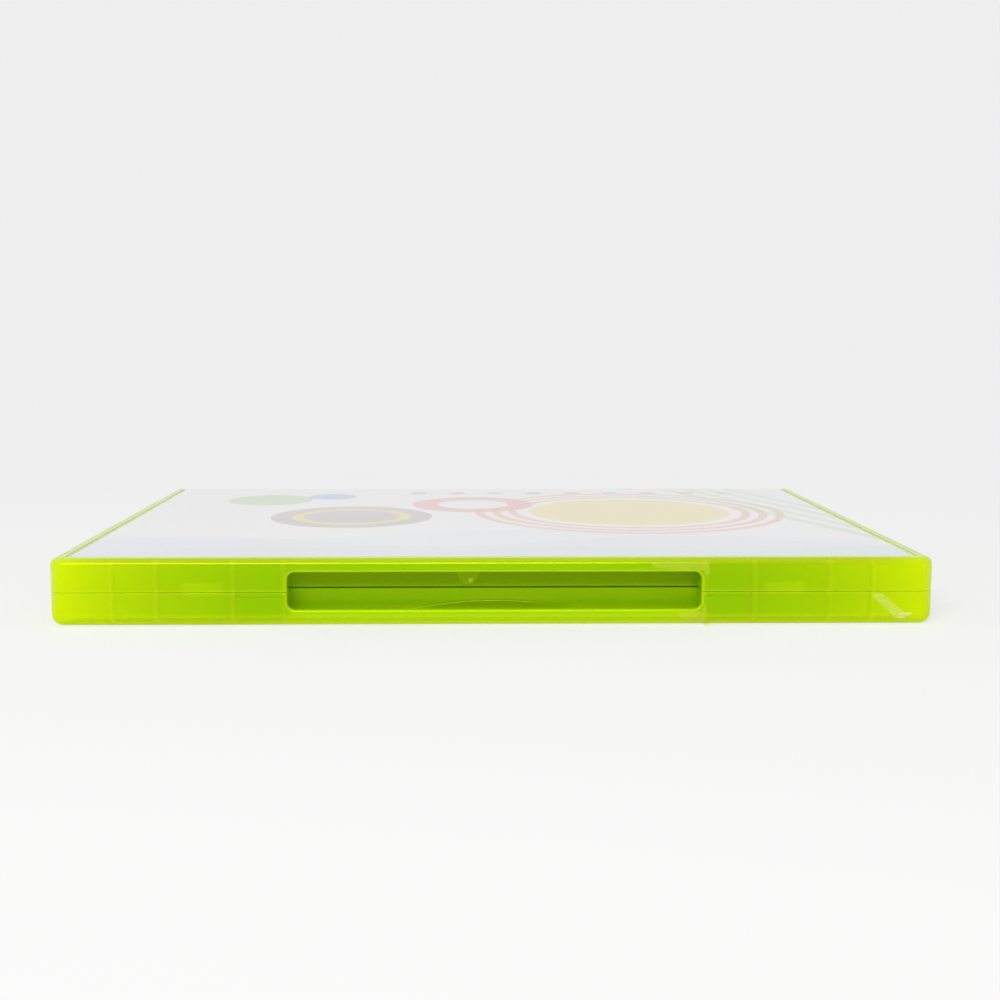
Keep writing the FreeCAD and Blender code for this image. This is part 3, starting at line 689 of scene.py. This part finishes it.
def front_print():
    level = TOP / MM - SHEET_DEPTH
    art = Print("print_front", WHITE, BRIGHT_WHITE)
    art.paint(art.wave(-30, 9, 150, 20), SKY, 0.09)
    art.paint(art.wave(-41, 8, 110, -15), BLUE, 0.07)
    art.paint(art.wave(-53, 5, 70, 0), TEAL, 0.12)
    sun, hoop, plate = (38, 12, level), (-4, 28, level), (-36, 2, level)
    art.paint(art.disc(sun, 27), YELLOW, 0.85)
    for radius in (31.5, 36.0, 40.5):
        art.paint(art.ring(sun, radius, 2.2), ORANGE, 0.75)
    art.paint(art.disc(hoop, 17), CORAL, 0.75)
    art.paint(art.disc(hoop, 10), WHITE)
    art.paint(art.disc(plate, 21), PLUM, 0.6)
    art.paint(art.ring(plate, 14, 3.0), YELLOW, 0.9)
    art.paint(art.disc((-62, 38, level), 12), LEAF, 0.8)
    art.paint(art.disc((-45, 46, level), 7), SKY, 0.8)
    for step in range(9):
        art.paint(art.disc((-20 + 11.5 * step, 55, level), 2.6), (GREY, ORANGE, TEAL)[step % 3], 0.9)
    for step in range(4):
        art.paint(art.strip((1, 0.35, 0), 74 + 6 * step, 2.6), LEAF, 0.5)
    return art.finish()


def back_print():
    art = Print("print_back", WHITE, BRIGHT_WHITE)
    art.paint(art.wave(-44, 6, 120, 0), SKY, 0.6)
    for step in range(3):
        place = (-52 + 52 * step, 18, SHEET_DEPTH)
        art.paint(art.disc(place, 20), (TEAL, YELLOW, CORAL)[step], 0.85)
        art.paint(art.disc(place, 12), WHITE)
    for step in range(5):
        inside = art.strip((1, 0, 0), 0, 150 - 18 * step)
        art.paint(art.both(art.strip((0, 1, 0), -14 - 5 * step, 1.6), inside), GREY, 0.5)
    return art.finish()


def spine_print():
    middle = TOP / 2 / MM
    art = Print("print_spine", WHITE, BRIGHT_WHITE)
    art.paint(art.strip((1, 0, 0), 72, 30), YELLOW)
    art.paint(art.strip((1, 0, 0), 52, 4), ORANGE)
    art.paint(art.strip((1, 0, 0), 44, 4), SKY)
    for step in range(4):
        art.paint(art.disc((-78 + 9 * step, CASE_HIGH.y / MM, middle), 3.2), (PLUM, TEAL, CORAL, LEAF)[step])
    return art.finish()


BOOKLET_PAPER = ((0.84, 0.84, 0.82), (0.87, 0.86, 0.84))
BOOKLET_ROUGHNESS = 0.4
BOOKLET_INK = 0.8
PAGE_EDGE = (0.62, 0.61, 0.58)
PAGE_EDGE_SLANTS = (0.4, 0.6)
PAGE_SCALE = 1200.0
PAGE_UNEVENNESS = 2.0


def booklet_print():
    """Print on the large faces, lines of pages on the edges."""
    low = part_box("manual")[0][2] / MM
    art = Print("booklet_paper", *BOOKLET_PAPER)
    normal = add_node(art.tree, "SeparateXYZ")
    art.tree.links.new(add_node(art.tree, "TexCoord").outputs["Normal"], normal.inputs["Vector"])
    flat = between(art.tree, art.math("ABSOLUTE", normal.outputs["Z"]), 0.0, 1.0, *PAGE_EDGE_SLANTS)
    pages = add_node(art.tree, "TexWave", bands_direction="Z")
    set_inputs(pages, Scale=PAGE_SCALE, Distortion=PAGE_UNEVENNESS)
    art.tree.links.new(art.place, pages.inputs["Vector"])
    art.paint(art.both(pages.outputs["Fac"], art.outside(flat)), PAGE_EDGE)
    sun, plate = (30, 18, low), (-34, 20, low)
    for mask, colour in ((art.wave(-26, 10, 140, 10), SKY), (art.wave(-40, 7, 90, 0), TEAL),
                         (art.disc(sun, 24), YELLOW), (art.ring(sun, 30, 3), ORANGE),
                         (art.disc(plate, 15), PLUM)):
        art.paint(art.both(mask, flat), colour, BOOKLET_INK)
    return art.finish(BOOKLET_ROUGHNESS)


DISC_RIM = (0.70, 0.71, 0.72)
DISC_ZONES = (
    (58.6, (0.86, 0.86, 0.85), False),
    (21.0, (0.78, 0.79, 0.80), True),
    (17.0, (0.60, 0.61, 0.62), False),
)
DISC_PRINTED = (22.5, 57.0)
DISC_LABEL_DEPTH = 0.5
DISC_MIRROR = (0.80, 0.79, 0.84)
DISC_GRAIN = 800
DISC_ROUGHNESS = (0.12, 0.22)


def disc_print():
    """Label above, mirror below; zones inwards from the rim by radius, colour and whether they are metal."""
    low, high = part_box("game_disc")
    label = high[2] / MM
    centre = ((low[0] + high[0]) / 2 / MM, (low[1] + high[1]) / 2 / MM, label)
    art = Print("disc", DISC_RIM, DISC_RIM)
    underside = art.below(art.z, (label - DISC_LABEL_DEPTH) * MM)
    metal = underside
    for radius, colour, metallic in DISC_ZONES:
        zone = art.disc(centre, radius)
        art.paint(zone, colour)
        metal = art.either(metal, zone) if metallic else art.both(metal, art.outside(zone))
    inner, outer = (art.disc(centre, radius) for radius in DISC_PRINTED)
    field = art.both(outer, art.outside(inner))
    art.paint(art.both(field, art.wave(-20, 7, 70, 5)), SKY, 0.8)
    art.paint(art.both(field, art.wave(-34, 6, 55, 0)), TEAL)
    sun, ball = (26, 30, label), (-30, 26, label)
    art.paint(art.both(field, art.disc(sun, 17)), YELLOW)
    art.paint(art.both(field, art.ring(sun, 21, 2)), ORANGE)
    art.paint(art.both(field, art.disc(ball, 11)), CORAL)
    art.paint(underside, DISC_MIRROR)
    shader = add_node(art.tree, "BsdfPrincipled")
    art.tree.links.new(art.colour, shader.inputs["Base Color"])
    art.tree.links.new(metal, shader.inputs["Metallic"])
    roughness = between(art.tree, noise(art.tree, DISC_GRAIN), *DISC_ROUGHNESS)
    art.tree.links.new(roughness, shader.inputs["Roughness"])
    art.tree.links.new(shader.outputs["BSDF"], art.output.inputs["Surface"])
    return art.material


# Living hinges: webs of the moulding, and the sheet and film where they go round the spine's edges

PANEL_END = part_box("film_front")[1][1]
SPINE_HINGE = Vector(next(joint["pos_m"] for joint in frame["record"]["behaviour"]["joints"]
                          if joint["name"] == "spine_hinge"))
FOLD_STEPS = 8


def mirrored(profile):
    """The same outline seen from the other large face."""
    return [(y, TOP - z) for y, z in profile]


def fold_outline(hinge, outer, inner):
    """A bent strip: flat from the panel's end, then a quarter turn round the hinge line."""
    def arm(radius):
        points = [(PANEL_END, hinge.z - radius)]
        for step in range(FOLD_STEPS + 1):
            angle = math.radians(90) * step / FOLD_STEPS
            points.append((hinge.y + radius * math.sin(angle), hinge.z - radius * math.cos(angle)))
        return points
    return arm(outer) + arm(inner)[::-1]


def add_folds(materials):
    """Sheet and film between the panels and the spine, first at the back and then at the front."""
    hinge = SPINE_HINGE
    for kind, slot, material in materials:
        low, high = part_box(kind + "_back")
        outline = fold_outline(hinge, hinge.z - low[2], hinge.z - high[2])
        middle = hinge.z - (low[2] + high[2]) / 2
        start = Vector((0, hinge.y, hinge.z - middle))
        end = Vector((0, hinge.y + middle, hinge.z))
        piece = add_piece(kind + "_fold_back", bar(outline, high[0]), material)
        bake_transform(piece)
        start.z = TOP - start.z
        end.z = TOP - end.z
        piece = add_piece(kind + "_fold_front", bar(mirrored(outline), high[0]), material)
        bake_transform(piece)


WEB_THICKNESS = 0.28 * MM
WEB_OVERLAP = 0.3 * MM
WEB_SETBACK = 2.0 * MM
WEB_GAP = 0.02 * MM
WEB_SHOULDER = 0.2 * MM


def add_webs(material):
    """Thin webs that join the panels to the spine below its round edges."""
    hinge = SPINE_HINGE
    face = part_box("spine")[0][2]
    reach = PANEL_END - WEB_OVERLAP
    outline = [(reach, face + WEB_GAP), (hinge.y, face + WEB_GAP),
               (PANEL_END + WEB_SHOULDER, face + WEB_THICKNESS), (reach, face + WEB_THICKNESS)]
    half_length = HALF_LENGTH - WEB_SETBACK
    for body, profile in (("tray", outline), ("cover", mirrored(outline))):
        web = add_piece("hinge_web_" + body, bar(profile, half_length), material)
        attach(web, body)


# Remnants of a seal tape on the opening edge: outlines in millimetres along X and Z, colours with their haze

TAPE_THICKNESS = 0.04 * MM
TAPE_ROW = 0.3 * MM
COVER_EDGE = 1.6 * MM
TRAY_EDGE = 2.4 * MM
TAPE_LIFT = 0.02 * MM
TAPE_FOLD_LIFT = 0.08 * MM
TAPE_UPPER = [(33.2, 13.75), (45.9, 13.8), (46.1, 11.2), (45.2, 10.6),
              (45.0, 11.95), (37.5, 12.05), (34.0, 12.6)]
TAPE_LOWER = [(39.2, 2.8), (44.6, 3.0), (45.2, 4.6), (45.5, 2.6),
              (45.6, 0.55), (44.2, 0.5), (40.4, 0.8), (39.8, 2.0)]
TAPE_STRIP = [(81.2, 6.75), (83.5, 6.85), (88.3, 2.9), (90.3, 2.5),
              (88.2, 1.35), (86.4, 1.3), (85.2, 2.8), (82.4, 5.3)]
TAPE_FOLD = [(86.4, 1.3), (88.2, 1.35), (90.3, 2.5), (87.6, 2.55)]
THIN_TAPE = ((0.95, 0.88, 0.05, 1), 0.09)
MILKY_TAPE = ((0.95, 0.95, 0.25, 1), 0.14)
FOLDED_TAPE = ((0.97, 0.97, 0.40, 1), 0.35)


def wall_face(z):
    """The front wall's place along Y at a height, on its rounded edges too."""
    for radius, rise in ((COVER_EDGE, z - (TOP - COVER_EDGE)), (TRAY_EDGE, TRAY_EDGE - z)):
        if rise > 0:
            return FRONT + radius - math.sqrt(radius ** 2 - rise ** 2)
    return FRONT


def add_tape(name, points, body, material, lift):
    """A thin flake of tape that follows the front wall."""
    mesh = bmesh.new()
    flake = mesh.faces.new([mesh.verts.new((x * MM, 0, z * MM)) for x, z in points])
    bmesh.ops.triangulate(mesh, faces=[flake])
    for row in range(1, int(TOP / TAPE_ROW)):
        bmesh.ops.bisect_plane(mesh, geom=mesh.verts[:] + mesh.edges[:] + mesh.faces[:],
                               plane_co=(0, 0, row * TAPE_ROW), plane_no=(0, 0, 1))
    for vert in mesh.verts:
        vert.co.y = wall_face(vert.co.z) - lift
    copy = bmesh.ops.extrude_face_region(mesh, geom=mesh.faces[:], use_keep_orig=True)
    for part in copy["geom"]:
        if isinstance(part, bmesh.types.BMVert):
            part.co.y -= TAPE_THICKNESS
    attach(add_piece(name, mesh, material), body)


TAPE_END_PLACE = 45.7
TAPE_END_LENGTH = 1.5
# Along Y from the front wall and along Z
TAPE_END_OUTLINE = [(1.3, 0.30), (0.4, 0.28), (-0.7, 0.05), (-0.7, 0.01), (0.4, 0.24), (1.3, 0.26)]


def add_tape_end(material):
    """A loose end of the tape that sticks out from under the front wall."""
    outline = [(FRONT + y * MM, z * MM) for y, z in TAPE_END_OUTLINE]
    mesh = bar(outline, TAPE_END_LENGTH / 2 * MM)
    bmesh.ops.translate(mesh, verts=mesh.verts, vec=(TAPE_END_PLACE * MM, 0, 0))
    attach(add_piece("tape_end", mesh, material), "tray")


# A bead of plastic left where the moulding was filled

NUB_SUBDIVISIONS = 3
NUB_UNEVENNESS = 0.15


def add_gate_nub(material):
    mesh = bmesh.new()
    bmesh.ops.create_icosphere(mesh, subdivisions=NUB_SUBDIVISIONS, radius=1.0)
    for vert in mesh.verts:
        lumps = 1 + NUB_UNEVENNESS * math.sin(3 * vert.co.x) * math.cos(2 * vert.co.z)
        vert.co = (Vector(NUB_PLACE) + NUB_RADIUS * lumps * vert.co) * MM
    piece = add_piece("gate_nub", mesh, material)
    piece.data.shade_smooth()
    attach(piece, "cover")


add_camera()
add_stage()
add_light()
bpy.context.scene.view_settings.view_transform = "Standard"

plastic = green_plastic()
for name in ("back_tray", "hub_button", "spine", "front_cover"):
    give(name, plastic)
film = clear_film()
prints = {"front": front_print(), "spine": spine_print(), "back": back_print()}
for side, printed in prints.items():
    give("film_" + side, film)
    give("cover_sheet_" + side, printed)
give("manual", booklet_print())
give("manual_staples", steel())
give("game_disc", disc_print())
add_folds((("cover_sheet", "printed_sheet", prints["spine"]), ("film", "clear_film", film)))
add_webs(plastic)
add_gate_nub(plastic)
thin_tape = tape("tape_clear", *THIN_TAPE)
milky_tape = tape("tape_milky", *MILKY_TAPE)
folded_tape = tape("tape_folded", *FOLDED_TAPE)
add_tape("tape_upper", TAPE_UPPER, "cover", thin_tape, TAPE_LIFT)
add_tape("tape_lower", TAPE_LOWER, "tray", thin_tape, TAPE_LIFT)
add_tape("tape_strip", TAPE_STRIP, "tray", milky_tape, TAPE_LIFT)
add_tape("tape_fold", TAPE_FOLD, "tray", folded_tape, TAPE_FOLD_LIFT)
add_tape_end(folded_tape)
